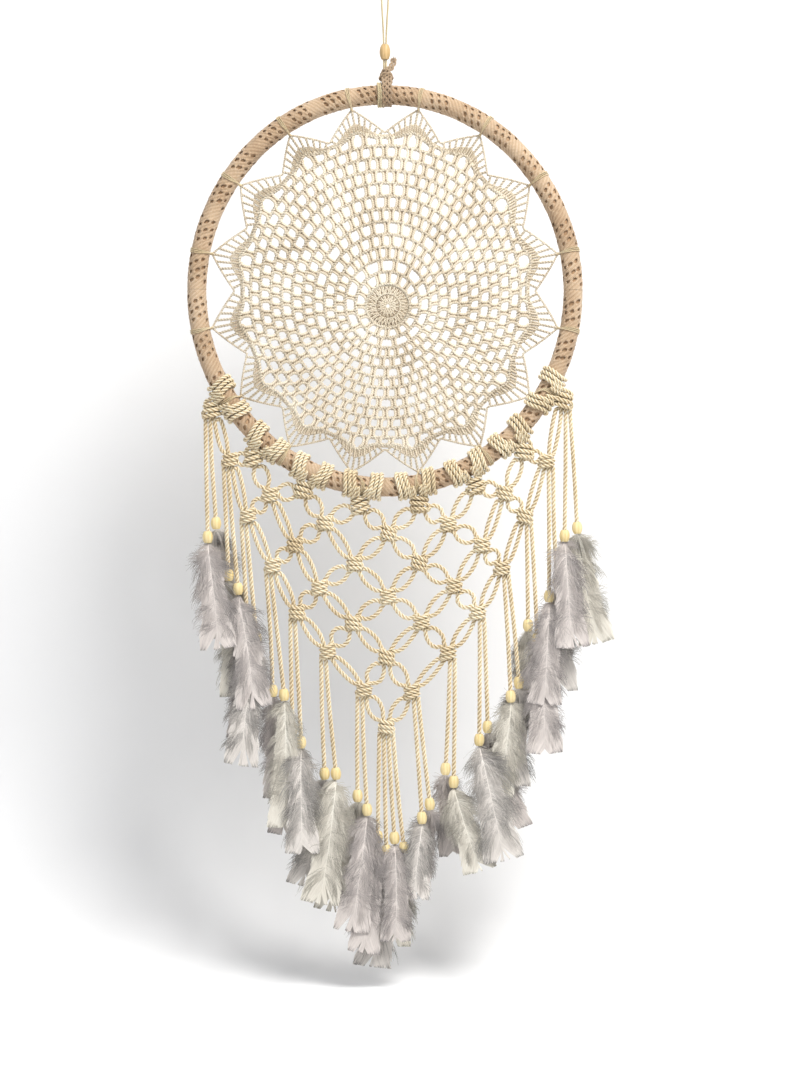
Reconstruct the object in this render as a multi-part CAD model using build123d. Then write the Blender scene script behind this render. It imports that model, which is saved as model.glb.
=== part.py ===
from build123d import *

import math
import os

# A macrame dream catcher: an oval rattan hoop in a knitted lace wrap, a crocheted star stretched
# inside it, a net of square knots below it, and cord tails that end in a bead and a feather each.
# Millimetres, +Z up, +X to the right seen from the front, front towards -Y.
# The origin is where the hanging loop bears on its nail.

# ---- driving dimensions ----
HOOP_DROP = 306.0          # from the nail to the hoop's centre
HOOP_HALF_WIDTH = 190.0    # to the centreline of the hoop's tube
HOOP_HALF_HEIGHT = 198.0
WRAP_RADIUS = 10.5         # outside of the lace wrap
RATTAN_RADIUS = 8.0
WRAP_INSIDE = 8.2
ROPE_RADIUS = 2.1          # twisted cotton rope of the net, the hitches and the tails
LOOP_RADIUS = 1.0          # thin cord of the hanging loop
KNOT_RADIUS = 6.0
KNOT_HALF_LENGTH = 8.0

# ---- crocheted star ----
STAR_TIPS = 16
STAR_THICKNESS = 2.0
TIP_GAP = 15.2             # from the hoop's centreline in to a tip
VALLEY_GAP = 38.0
TIE_WIRE = 0.6
TIE_RADIUS = 12.95
TIE_SHIFT = 1.6            # a tie's centre lies this far in from the hoop's centreline

# ---- hitches on the hoop ----
GROUPS = 8
GROUP_STEP = 16.8          # degrees between groups of hitches
GROUP_MIDDLE = 271.4       # the groups stand a little right of the hoop's lowest point
HITCH_OFFSET = 3.9         # degrees from a group's middle to each of its two hitches
HITCH_TURNS = 3
HITCH_PITCH = 4.75
TIE_TURNS = 3
TIE_ROPE_RADIUS = 1.3
TIE_PITCH = 3.0
EASE = 0.15
RING_KNOT_GAP = 19.8       # from the hoop's centreline out to the first knots

# ---- net: (height of the outer knots, height of the middle, half width), from the hoop's centre ----
NET_ROWS = [
    (-172.0, -245.5, 160.0),
    (-228.5, -278.0, 139.5),
    (-279.0, -308.5, 117.0),
    (-326.0, -336.0, 91.0),
    (-365.5, -369.0, 60.0),
    (-404.0, -404.0, 24.5),
    (-441.5, -441.5, 0.0),
]
CROWDING = 0.2             # how much closer the knots stand towards the edges
NET_SHIFT = 2.5            # the net hangs a little right of the hoop's middle
WOBBLE = 1.3               # hand-made unevenness of the knots
PAIR_HALF_GAP = 2.3        # from a pair's middle to each of its two ropes
PAIR_ANCHOR = (3.8, 3.1)   # a pair meets a knot this far sideways and up or down from its centre
ROPE_START = 1.5           # from the anchor to the end of a rope, before the knots cut it
SLACK_LEAST = 1.0
SLACK_MOST = 4.0

# ---- hanging loop ----
SPLIT_Z = -64.1            # the loop above, the cord to the hoop below, inside the bead
LOOP_ROUTE = [(-1.15, -64.0), (-1.25, -50), (-2.3, -30), (-3.5, -12), (-3.3, 1),
              (3.3, 1), (3.5, -12), (2.3, -30), (1.25, -50), (1.15, -64.0)]
HANGER_BEAD_Z = -64.7
HANGER_BEAD_HALF_LENGTH = 7.6
HANGER_BEAD_RADIUS = 5.5
HANGER_BEAD_END_RADIUS = 3.4
HANGER_BORE = 2.4
SWING_Z = -83.0            # the hoop swings where its knot hangs from the cord
SWING_GAP = 0.3
HANGER_KNOT = (1.5, -89.0)
HANGER_KNOT_RADIUS = 5.5
STUB_ROUTE = [(3, -87), (9.5, -77)]
STUB_RADIUS = 2.2

# ---- beads and feathers on the tails ----
PIVOT_DROP = 8.25          # from a knot's centre down to where its tails turn
TAIL_TOP_RADIUS = 2.03     # a tail's rounded top, a little thinner than its rope
BEAD_HALF_LENGTH = 6.0
BEAD_RADIUS = 5.25
BEAD_END_RADIUS = 3.4
BEAD_BORE = 2.3
QUILL_RADIUS = 0.7
QUILL_LENGTH = 14.0
VANE_THICKNESS = 1.2
FEATHER_LEVELS = [7.0, 12.4, 10.6, 8.8]   # depth of a feather's vane, by row, so that neighbours pass
LAST_LEVEL = 10.6

# Tails by name: row, knot (0 the leftmost, -1 the rightmost), then for each rope its sideways
# places from the knot at four heights, its drop to the bead, and its feather: lean in degrees
# (positive to the right), length and width.
TAILS = {
    "left_1": (1, 0, [([-6.6, -6.2, -5.2, -4.4], 120, (6, 108, 34)),
                      ([-1.9, -1.0, 1.6, 4.0], 106, (3, 112, 30))]),
    "left_2": (2, 0, [([-2.1, 0.8, 4.4, 8.0], 122, (8, 116, 34)),
                      ([-6.6, -5.0, -3.2, -1.6], 108, (3, 118, 30))]),
    "left_3": (3, 0, [([-1.9, 1.6, 5.0, 8.6], 115, (-7, 124, 32)),
                      ([-6.6, -4.6, -2.2, -1.0], 101, (-3, 112, 30))]),
    "left_4": (4, 0, [([-1.9, 2.6, 7.4, 11.6], 122, (-1, 128, 30)),
                      ([-6.6, -3.4, -0.9, 0.0], 118, (3, 104, 30))]),
    "left_5": (5, 0, [([-1.9, 0.0, 2.5, 4.2], 123, (1, 106, 32)),
                      ([-6.6, -6.3, -5.2, -4.4], 109, (-6, 104, 28))]),
    "left_6": (6, 0, [([-1.9, 0.5, 4.6, 8.2], 115, (-8, 126, 36)),
                      ([-6.6, -6.3, -5.0, -3.2], 115, (-13, 112, 30))]),
    "left_7": (7, 0, [([-1.9, -1.0, 0.8, 3.0], 113, (-8, 118, 34)),
                      ([-6.6, -7.1, -6.9, -6.6], 99, (-13, 116, 34))]),
    "center": (8, 0, [([-6.9, -7.6, -8.1, -8.5], 103, (-7, 112, 30)),
                      ([-2.3, -1.6, -0.8, 0.3], 117, (-8, 114, 36)),
                      ([2.3, 4.0, 6.0, 8.4], 104, (0, 98, 28)),
                      ([6.9, 10.0, 13.6, 18.0], 114, (-6, 96, 28))]),
    "right_7": (7, -1, [([1.9, 4.8, 7.8, 10.2], 119, (-6, 76, 28)),
                        ([6.6, 10.4, 14.4, 18.2], 105, (-10, 84, 26))]),
    "right_6": (6, -1, [([6.6, 6.7, 6.3, 5.7], 122, (18, 88, 32)),
                        ([1.9, 0.8, -0.6, -2.6], 109, (6, 84, 26))]),
    "right_5": (5, -1, [([1.9, 2.0, 1.8, 1.4], 120, (12, 118, 38)),
                        ([6.6, 7.8, 9.1, 9.9], 107, (16, 104, 34))]),
    "right_4": (4, -1, [([1.9, 4.6, 7.0, 8.7], 121, (-10, 96, 32)),
                        ([6.6, 10.8, 14.2, 17.0], 107, (-2, 100, 30))]),
    "right_3": (3, -1, [([6.6, 9.0, 11.0, 12.6], 116, (3, 110, 34)),
                        ([1.9, 2.5, 3.0, 3.3], 102, (0, 104, 28))]),
    "right_2": (2, -1, [([1.9, 2.3, 2.5, 2.4], 128, (-3, 104, 32)),
                        ([6.6, 7.0, 8.0, 11.2], 115, (1, 104, 34))]),
    "right_1": (1, -1, [([2.3, 2.3, 1.9, 1.2], 128, (4, 108, 32)),
                        ([6.6, 9.4, 12.0, 13.9], 120, (11, 114, 34))]),
}
TAIL_HEIGHTS = [0.0, 0.34, 0.68, 1.0]   # of a tail's drop, at the four places


# ---- places ----
OVAL_OFFSET = (HOOP_HALF_HEIGHT - HOOP_HALF_WIDTH) / (2 - math.sqrt(2))


def hoop_point(degrees, outward=0.0):
    """(x, z) where the hoop's normal has this angle, on its centreline or that far outward from it.

    The oval is four tangent arcs, which meet where the normal is diagonal."""
    c, s = math.cos(math.radians(degrees)), math.sin(math.radians(degrees))
    if abs(c) >= abs(s):
        radius = HOOP_HALF_WIDTH + OVAL_OFFSET + outward
        return radius * c - math.copysign(OVAL_OFFSET, c), radius * s - HOOP_DROP
    radius = HOOP_HALF_HEIGHT - OVAL_OFFSET + outward
    return radius * c, radius * s + math.copysign(OVAL_OFFSET, s) - HOOP_DROP


def hoop_tangent(degrees):
    return Vector(-math.sin(math.radians(degrees)), 0, math.cos(math.radians(degrees)))


def group_angle(group):
    return GROUP_MIDDLE + (group - (GROUPS - 1) / 2) * GROUP_STEP


def knot_place(row, number):
    """(x, z) of a knot. Row 1 hangs on the hoop and has a knot for each group; each row has one less."""
    if row == 1:
        return hoop_point(group_angle(number), RING_KNOT_GAP)
    edge, middle, half_width = NET_ROWS[row - 2]
    last = GROUPS - row
    u = 2 * number / last - 1 if last else 0.0
    s = u * (1 + CROWDING - CROWDING * u * u)
    seed = 3.7 * row + 2.3 * number
    x = NET_SHIFT + half_width * s + WOBBLE * math.sin(seed)
    z = middle + (edge - middle) * s * s + WOBBLE * math.cos(1.7 * seed)
    return x, z - HOOP_DROP


def knots_in(row):
    return [knot_place(row, number) for number in range(GROUPS + 1 - row)]


# ---- shapes ----
def ring_on_hoop(degrees, major, minor, shift=0.0):
    """A ring round the hoop's tube, its centre shifted inwards."""
    x, z = hoop_point(degrees, -shift)
    return Plane(origin=(x, 0, z), z_dir=hoop_tangent(degrees)) * Torus(major, minor)


def tube(points, radius):
    """A tube along points (x, z): straight runs, and at each corner an arc as large as its runs allow."""
    route = [Vector(x, 0, z) for x, z in points]
    radii = []
    for a, b, c in zip(route, route[1:], route[2:]):
        turn = math.radians((b - a).get_angle(c - b))
        radii.append(0.45 * min((b - a).length, (c - b).length) / math.tan(turn / 2))
    path = FilletPolyline(*route, radius=radii)
    section = Plane(origin=path @ 0, z_dir=path % 0) * Circle(radius)
    solid = sweep(section, path=path)
    expected = math.pi * radius**2 * path.length
    print("tube", round(path.length, 1), "least radius", round(min(radii), 1),
          "volume share", round(solid.volume / expected, 4))
    return solid


def oval_tube(radius):
    """A tube round the hoop's oval."""
    def at(degrees):
        x, z = hoop_point(degrees)
        return x, 0, z

    path = Wire([ThreePointArc(at(a), at(a + 45), at(a + 90)) for a in (-45, 45, 135, 225)])
    return sweep(Plane(origin=path @ 0, z_dir=path % 0) * Circle(radius), path=path)


def barrel(half_length, radius, end_radius, bore):
    """A turned bead about Z, with a hole."""
    outside = ThreePointArc((end_radius, 0, -half_length), (radius, 0, 0), (end_radius, 0, half_length))
    inside = Polyline((end_radius, 0, half_length), (bore, 0, half_length),
                      (bore, 0, -half_length), (end_radius, 0, -half_length))
    return revolve(make_face([outside, *inside.edges()]), axis=Axis.Z)


def knot_solid():
    """A square knot's outer shape: a rounded bar along X."""
    straight = KNOT_HALF_LENGTH - KNOT_RADIUS
    bow = KNOT_RADIUS * math.sqrt(0.5)
    outline = [
        ThreePointArc((-KNOT_HALF_LENGTH, 0, 0), (-straight - bow, 0, bow), (-straight, 0, KNOT_RADIUS)),
        Line((-straight, 0, KNOT_RADIUS), (straight, 0, KNOT_RADIUS)),
        ThreePointArc((straight, 0, KNOT_RADIUS), (straight + bow, 0, bow), (KNOT_HALF_LENGTH, 0, 0)),
        Line((KNOT_HALF_LENGTH, 0, 0), (-KNOT_HALF_LENGTH, 0, 0)),
    ]
    return revolve(make_face(outline), axis=Axis.X)


def rope_arc(above, below, side, slack):
    """One rope of a pair between two knots, bowed to its own side of the pair."""
    sideways, upward = PAIR_ANCHOR
    sideways = math.copysign(sideways, below[0] - above[0])
    ax, az = above[0] + sideways, above[1] - upward
    bx, bz = below[0] - sideways, below[1] + upward
    length = math.hypot(bx - ax, bz - az)
    dx, dz = (bx - ax) / length, (bz - az) / length
    nx, nz = -dz * side, dx * side

    def at(along, out):
        return (ax + dx * along + nx * out, 0, az + dz * along + nz * out)

    path = ThreePointArc(at(ROPE_START, PAIR_HALF_GAP), at(length / 2, PAIR_HALF_GAP + slack),
                         at(length - ROPE_START, PAIR_HALF_GAP))
    rope = sweep(Plane(origin=path @ 0, z_dir=path % 0) * Circle(ROPE_RADIUS), path=path)
    for x, z in (above, below):
        rope -= Pos(x, 0, z) * KNOT_SHAPE
    return rope.solid()


KNOT_SHAPE = knot_solid()


def slack_of(row, a, b):
    """How far a pair's ropes bow apart: most under the middle of the hoop, less at the sides and below."""
    middle = 1 - min(1.0, abs((a[0] + b[0]) / 2 - NET_SHIFT) / 130)
    upper = 1 - (row - 1) / (GROUPS - 1)
    return SLACK_LEAST + (SLACK_MOST - SLACK_LEAST) * middle * upper


# ---- sub-parts ----
def hoop_ring():
    return [oval_tube(RATTAN_RADIUS)]


def hoop_wrap():
    return [oval_tube(WRAP_RADIUS) - oval_tube(WRAP_INSIDE)]


def tip_angles():
    step = 360 / STAR_TIPS
    return [step * (n + 0.5) for n in range(STAR_TIPS)]


def web_doily():
    step = 360 / STAR_TIPS
    edges = []
    for angle in tip_angles():
        tip, valley, following = (
            hoop_point(angle, -TIP_GAP),
            hoop_point(angle + step / 2, -VALLEY_GAP),
            hoop_point(angle + step, -TIP_GAP),
        )
        edges.append(ThreePointArc(*[(x, 0, z) for x, z in (tip, valley, following)]))
    star = make_face(edges)
    return [extrude(star, amount=STAR_THICKNESS / 2, dir=(0, 1, 0), both=True)]


def tie_angle(tip):
    """A tie under a group of hitches slips to the group's middle, between the hitches."""
    nearest = min((group_angle(group) for group in range(GROUPS)), key=lambda angle: abs(angle - tip))
    return nearest if abs(nearest - tip) < HITCH_OFFSET + 2.5 else tip


def web_ties():
    return [ring_on_hoop(tie_angle(tip), TIE_RADIUS, TIE_WIRE, TIE_SHIFT) for tip in tip_angles()]


def hanger_tie():
    major = WRAP_RADIUS + EASE + TIE_ROPE_RADIUS
    step = math.degrees(TIE_PITCH / (HOOP_HALF_HEIGHT - OVAL_OFFSET))
    return [ring_on_hoop(90 + step * (n - (TIE_TURNS - 1) / 2), major, TIE_ROPE_RADIUS)
            for n in range(TIE_TURNS)]


def hanger_knot():
    x, z = HANGER_KNOT
    knot = Pos(x, 0, z) * Sphere(HANGER_KNOT_RADIUS)
    (x0, z0), (x1, z1) = STUB_ROUTE
    path = Line((x0, 0, z0), (x1, 0, z1))
    stub = sweep(Plane(origin=path @ 0, z_dir=path % 0) * Circle(STUB_RADIUS), path=path)
    return [knot + stub]


def hoop_hitches():
    major = WRAP_RADIUS + EASE + ROPE_RADIUS
    step = math.degrees(HITCH_PITCH / (HOOP_HALF_HEIGHT - OVAL_OFFSET))
    rings = []
    for group in range(GROUPS):
        for side in (-1, 1):
            middle = group_angle(group) + side * HITCH_OFFSET
            for n in range(HITCH_TURNS):
                rings.append(ring_on_hoop(middle + step * (n - (HITCH_TURNS - 1) / 2), major, ROPE_RADIUS))
    return rings


def knots(rows):
    return [Pos(x, 0, z) * KNOT_SHAPE for row in rows for x, z in knots_in(row)]


def net_cords(rows):
    """The pairs of ropes from each row of knots down to the next."""
    ropes = []
    for row in rows:
        upper, lower = knots_in(row), knots_in(row + 1)
        for n, below in enumerate(lower):
            for above in upper[n:n + 2]:
                slack = slack_of(row, above, below)
                ropes += [rope_arc(above, below, side, slack) for side in (-1, 1)]
    return ropes


def hanging_loop():
    return [tube(LOOP_ROUTE, LOOP_RADIUS)]


def hanger_cord():
    top, bottom = SPLIT_Z - 0.1, SWING_Z + SWING_GAP
    strand = Cylinder(LOOP_RADIUS, top - bottom)
    return [Pos(side * LOOP_ROUTE[-1][0], 0, (top + bottom) / 2) * strand for side in (-1, 1)]


def hanger_bead():
    bead = barrel(HANGER_BEAD_HALF_LENGTH, HANGER_BEAD_RADIUS, HANGER_BEAD_END_RADIUS, HANGER_BORE)
    return [Pos(0, 0, HANGER_BEAD_Z) * bead]


def feather(length, width, level):
    """A feather hanging from the origin: a slanting quill, and a flat vane at depth level."""
    half = width / 2
    start = QUILL_LENGTH * 0.7
    outline = [
        ThreePointArc((-1, 0, -start), (-0.62 * half, 0, -start - 4), (-0.9 * half, 0, -start - 12)),
        ThreePointArc((-0.9 * half, 0, -start - 12), (-half, 0, -0.45 * length), (-0.62 * half, 0, -0.95 * length)),
        ThreePointArc((-0.62 * half, 0, -0.95 * length), (0, 0, -length), (0.62 * half, 0, -0.95 * length)),
        ThreePointArc((0.62 * half, 0, -0.95 * length), (half, 0, -0.45 * length), (0.9 * half, 0, -start - 12)),
        ThreePointArc((0.9 * half, 0, -start - 12), (0.62 * half, 0, -start - 4), (1, 0, -start)),
        Line((1, 0, -start), (-1, 0, -start)),
    ]
    vane = extrude(make_face(outline), amount=VANE_THICKNESS / 2, dir=(0, 1, 0), both=True)
    path = Line((0, 0, 1), (0, level, -QUILL_LENGTH))
    quill = sweep(Plane(origin=path @ 0, z_dir=path % 0) * Circle(QUILL_RADIUS), path=path)
    return Pos(0, level, 0) * vane + quill


def tail(row, number, ropes):
    """(ropes, beads, feathers) of one tail. A rope's top is round, and turns about the hinge's axis."""
    knot_x, knot_z = knot_place(row, number if number >= 0 else GROUPS - row)
    top = knot_z - PIVOT_DROP
    bead = barrel(BEAD_HALF_LENGTH, BEAD_RADIUS, BEAD_END_RADIUS, BEAD_BORE)
    print("hinge", row, "at", round(knot_x, 3), round(top, 3))
    cords, beads, feathers = [], [], []
    for n, (sideways, drop, (lean, length, width)) in enumerate(ropes):
        route = [(knot_x + x, top - h * drop) for x, h in zip(sideways, TAIL_HEIGHTS)]
        x, z = route[0]
        cords.append(tube(route, ROPE_RADIUS) + Pos(x, 0, z) * Sphere(TAIL_TOP_RADIUS))
        (x0, z0), (x1, z1) = route[-2:]
        tilt = math.degrees(math.atan2(x1 - x0, z0 - z1))
        beads.append(Pos(x1, 0, z1) * Rot(0, -tilt, 0) * bead)
        level = FEATHER_LEVELS[row % 4] if n < 2 else LAST_LEVEL
        front = -1 if n % 2 == 0 else 1
        shape = Pos(0, 0, -BEAD_HALF_LENGTH) * Rot(0, tilt - lean, 0) * feather(length, width, front * level)
        feathers.append(Pos(x1, 0, z1) * Rot(0, -tilt, 0) * shape)
    return cords, beads, feathers


def write(name, solids):
    for number, solid in enumerate(solids):
        solid.label = f"{name}_{number + 1}"
    export_step(Compound(children=list(solids)), f"parts/{name}.step")


os.makedirs("parts", exist_ok=True)
write("hanging_loop", hanging_loop())
write("hanger_bead", hanger_bead())
write("hanger_cord", hanger_cord())
write("hanger_knot", hanger_knot())
write("hanger_tie", hanger_tie())
write("hoop_ring", hoop_ring())
write("hoop_wrap", hoop_wrap())
write("web_doily", web_doily())
write("web_ties", web_ties())
write("hoop_hitches", hoop_hitches())
write("ring_knots", knots([1]))
write("net_knots", knots(range(2, GROUPS + 1)))
write("net_cords_upper", net_cords(range(1, 4)))
write("net_cords_lower", net_cords(range(4, GROUPS)))
for name, (row, number, ropes) in TAILS.items():
    cords, beads, feathers = tail(row, number, ropes)
    write(f"tail_{name}_cords", cords)
    write(f"tail_{name}_beads", beads)
    write(f"tail_{name}_feathers", feathers)
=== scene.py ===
import math
import random

import bpy
import numpy as np
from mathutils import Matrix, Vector


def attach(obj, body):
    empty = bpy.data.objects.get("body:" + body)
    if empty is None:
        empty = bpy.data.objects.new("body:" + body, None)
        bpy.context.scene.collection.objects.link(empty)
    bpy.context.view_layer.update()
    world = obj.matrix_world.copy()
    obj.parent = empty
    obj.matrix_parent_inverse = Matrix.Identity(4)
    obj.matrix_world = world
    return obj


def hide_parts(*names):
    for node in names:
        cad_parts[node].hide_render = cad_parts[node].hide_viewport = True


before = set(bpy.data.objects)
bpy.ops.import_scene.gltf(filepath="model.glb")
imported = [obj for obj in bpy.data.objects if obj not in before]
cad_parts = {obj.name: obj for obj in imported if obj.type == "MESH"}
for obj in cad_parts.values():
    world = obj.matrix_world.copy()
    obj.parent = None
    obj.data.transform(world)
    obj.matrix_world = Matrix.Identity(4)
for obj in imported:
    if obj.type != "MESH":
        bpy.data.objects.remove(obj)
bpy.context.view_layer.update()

bpy.context.scene.view_settings.view_transform = "Standard"

# Lengths below are in millimetres in the CAD's frame; MM turns them into metres when a mesh is made.
MM = 0.001

# ---------------- camera
CENTER_X, CENTER_Z = 15.2, -563.6      # what the middle of the picture looks at
VIEW_HEIGHT = 1103.0                   # what the picture takes in, top to bottom, at the hoop
CAMERA_DISTANCE = 2600.0

camera_data = bpy.data.cameras.new("camera")
camera_data.sensor_fit = "VERTICAL"
camera_data.sensor_height = 24.0
camera_data.lens = 24.0 * CAMERA_DISTANCE / VIEW_HEIGHT
camera_data.clip_end = 50
camera = bpy.data.objects.new("camera", camera_data)
camera.location = (CENTER_X * MM, -CAMERA_DISTANCE * MM, CENTER_Z * MM)
camera.rotation_euler = (math.radians(90), 0, 0)
bpy.context.scene.collection.objects.link(camera)
bpy.context.scene.camera = camera

# ---------------- the same places as the CAD's
HOOP_DROP = 306.0
HOOP_HALF_WIDTH = 190.0
HOOP_HALF_HEIGHT = 198.0
OVAL_OFFSET = (HOOP_HALF_HEIGHT - HOOP_HALF_WIDTH) / (2 - math.sqrt(2))
WRAP_RADIUS = 10.3
ROPE_RADIUS = 2.1
ROPE_PITCH = 13.6
STRAND_SHARE = 0.58    # a strand's radius and its distance from the rope's line, in rope radii
RIBS_ROUND = 11        # slanting ribs of the lace, counted round the hoop's tube
RIB_PITCH = 4.2        # and from one to the next along the hoop
GROUPS = 8
GROUP_STEP = 16.8
GROUP_MIDDLE = 271.4
HITCH_OFFSET = 3.9
HITCH_RADIUS = 12.6
RING_KNOT_GAP = 19.8
RING_KNOT_SIZE = 1.22
NET_ROWS = [
    (-172.0, -245.5, 160.0),
    (-228.5, -278.0, 139.5),
    (-279.0, -308.5, 117.0),
    (-326.0, -336.0, 91.0),
    (-365.5, -369.0, 60.0),
    (-404.0, -404.0, 24.5),
    (-441.5, -441.5, 0.0),
]
CROWDING = 0.2
NET_SHIFT = 2.5
WOBBLE = 1.3
PAIR_HALF_GAP = 2.3
PAIR_ANCHOR = (3.8, 3.1)
LONG_LINK = 49.0       # a link between two knots this long has its ropes nearly straight
BOW_LEAST = 1.2
BOW_SHORT = 3.6
BOW_MOST = 7.0
PIVOT_DROP = 8.25
BEAD_HALF_LENGTH = 6.0

# For each tail: row, knot, then for each rope its sideways places at four heights, its drop, and
# its feather's lean in degrees, length and width.
TAILS = {
    "left_1": (1, 0, [
        ([-6.6, -6.2, -5.2, -4.4], 120, (6, 108, 34)),
        ([-1.9, -1.0, 1.6, 4.0], 106, (3, 112, 30))]),
    "left_2": (2, 0, [
        ([-2.1, 0.8, 4.4, 8.0], 122, (8, 116, 34)),
        ([-6.6, -5.0, -3.2, -1.6], 108, (3, 118, 30))]),
    "left_3": (3, 0, [
        ([-1.9, 1.6, 5.0, 8.6], 115, (-7, 124, 32)),
        ([-6.6, -4.6, -2.2, -1.0], 101, (-3, 112, 30))]),
    "left_4": (4, 0, [
        ([-1.9, 2.6, 7.4, 11.6], 122, (-1, 128, 30)),
        ([-6.6, -3.4, -0.9, 0.0], 118, (3, 104, 30))]),
    "left_5": (5, 0, [
        ([-1.9, 0.0, 2.5, 4.2], 123, (1, 106, 32)),
        ([-6.6, -6.3, -5.2, -4.4], 109, (-6, 104, 28))]),
    "left_6": (6, 0, [
        ([-1.9, 0.5, 4.6, 8.2], 115, (-8, 126, 36)),
        ([-6.6, -6.3, -5.0, -3.2], 115, (-13, 112, 30))]),
    "left_7": (7, 0, [
        ([-1.9, -1.0, 0.8, 3.0], 113, (-8, 118, 34)),
        ([-6.6, -7.1, -6.9, -6.6], 99, (-13, 116, 34))]),
    "center": (8, 0, [
        ([-6.9, -7.6, -8.1, -8.5], 103, (-7, 112, 30)),
        ([-2.3, -1.6, -0.8, 0.3], 117, (-8, 114, 36)),
        ([2.3, 4.0, 6.0, 8.4], 104, (0, 98, 28)),
        ([6.9, 10.0, 13.6, 18.0], 114, (-6, 96, 28))]),
    "right_7": (7, -1, [
        ([1.9, 4.8, 7.8, 10.2], 119, (-6, 76, 28)),
        ([6.6, 10.4, 14.4, 18.2], 105, (-10, 84, 26))]),
    "right_6": (6, -1, [
        ([6.6, 6.7, 6.3, 5.7], 122, (18, 88, 32)),
        ([1.9, 0.8, -0.6, -2.6], 109, (6, 84, 26))]),
    "right_5": (5, -1, [
        ([1.9, 2.0, 1.8, 1.4], 120, (12, 118, 38)),
        ([6.6, 7.8, 9.1, 9.9], 107, (16, 104, 34))]),
    "right_4": (4, -1, [
        ([1.9, 4.6, 7.0, 8.7], 121, (-10, 96, 32)),
        ([6.6, 10.8, 14.2, 17.0], 107, (-2, 100, 30))]),
    "right_3": (3, -1, [
        ([6.6, 9.0, 11.0, 12.6], 116, (3, 110, 34)),
        ([1.9, 2.5, 3.0, 3.3], 102, (0, 104, 28))]),
    "right_2": (2, -1, [
        ([1.9, 2.3, 2.5, 2.4], 128, (-3, 104, 32)),
        ([6.6, 7.0, 8.0, 11.2], 115, (1, 104, 34))]),
    "right_1": (1, -1, [
        ([2.3, 2.3, 1.9, 1.2], 128, (4, 108, 32)),
        ([6.6, 9.4, 12.0, 13.9], 120, (11, 114, 34))]),
}
TAIL_HEIGHTS = [0.0, 0.34, 0.68, 1.0]
# How far in front of the ropes or behind them a feather hangs, by its row, and for the last two ropes.
FEATHER_LEVELS = [7.0, 12.4, 10.6, 8.8]
LAST_LEVEL = 10.6


def hoop_point(degrees, outward=0.0):
    """(x, z) where the hoop's normal has this angle, on its centreline or that far outward from it."""
    c, s = np.cos(np.radians(degrees)), np.sin(np.radians(degrees))
    at_side = np.abs(c) >= np.abs(s)
    side = HOOP_HALF_WIDTH + OVAL_OFFSET + outward
    upright = HOOP_HALF_HEIGHT - OVAL_OFFSET + outward
    x = np.where(at_side, side * c - np.copysign(OVAL_OFFSET, c), upright * c)
    z = np.where(at_side, side * s, upright * s + np.copysign(OVAL_OFFSET, s))
    return x, z - HOOP_DROP


def on_hoop(degrees, around, radius):
    """Points at that radius from the hoop's centreline; around is 0 outward and 90 towards the front."""
    a = np.radians(around)
    x, z = hoop_point(degrees, radius * np.cos(a))
    return np.stack([x, -radius * np.sin(a), z], axis=-1)


def group_angle(group):
    return GROUP_MIDDLE + (group - (GROUPS - 1) / 2) * GROUP_STEP


def knot_place(row, number):
    if row == 1:
        return hoop_point(group_angle(number), RING_KNOT_GAP)
    edge, middle, half_width = NET_ROWS[row - 2]
    last = GROUPS - row
    u = 2 * number / last - 1 if last else 0.0
    s = u * (1 + CROWDING - CROWDING * u * u)
    seed = 3.7 * row + 2.3 * number
    x = NET_SHIFT + half_width * s + WOBBLE * math.sin(seed)
    z = middle + (edge - middle) * s * s + WOBBLE * math.cos(1.7 * seed)
    return x, z - HOOP_DROP


# ---------------- mesh helpers
def new_mesh(name, vertices, quads, uvs=None, wrap_u=True):
    """A mesh object from arrays in millimetres; uvs is one (u, v) for each vertex, and with wrap_u
    u goes round something, so a face across its seam goes on past 1."""
    vertices = np.asarray(vertices, np.float32) * MM
    faces = np.asarray(quads, np.int32)
    mesh = bpy.data.meshes.new(name)
    mesh.vertices.add(len(vertices))
    mesh.vertices.foreach_set("co", vertices.ravel())
    corners = faces.shape[1]
    mesh.loops.add(faces.size)
    mesh.loops.foreach_set("vertex_index", faces.ravel())
    mesh.polygons.add(len(faces))
    mesh.polygons.foreach_set("loop_start", np.arange(len(faces), dtype=np.int32) * corners)
    mesh.polygons.foreach_set("use_smooth", np.full(len(faces), True))
    mesh.update(calc_edges=True)
    if uvs is not None:
        layer = mesh.uv_layers.new(name="UVMap")
        corner_uvs = np.asarray(uvs, np.float32)[faces]
        if wrap_u:
            seam = np.ptp(corner_uvs[:, :, 0], axis=1) > 0.5
            corner_uvs[:, :, 0] += seam[:, None] & (corner_uvs[:, :, 0] < 0.5)
        layer.data.foreach_set("uv", corner_uvs.ravel())
    mesh.validate()
    obj = bpy.data.objects.new(name, mesh)
    bpy.context.scene.collection.objects.link(obj)
    return obj


class Pile:
    """Collects tubes and ribbons and makes one object of them."""

    def __init__(self):
        self.vertices, self.quads, self.uvs, self.count = [], [], [], 0

    def add(self, vertices, quads, uvs):
        self.vertices.append(vertices)
        self.quads.append(np.asarray(quads) + self.count)
        self.uvs.append(uvs)
        self.count += len(vertices)

    def make(self, name, material, body, slot, replaced, wrap_u=True):
        parts = [np.concatenate(arrays) for arrays in (self.vertices, self.quads, self.uvs)]
        return place(new_mesh(name, *parts, wrap_u), material, body, replaced)


def recolor(obj, material):
    obj.data.materials.clear()
    obj.data.materials.append(material)


def place(obj, material, body, replaced):
    recolor(obj, material)
    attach(obj, body)
    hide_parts(*replaced)
    return obj


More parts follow.
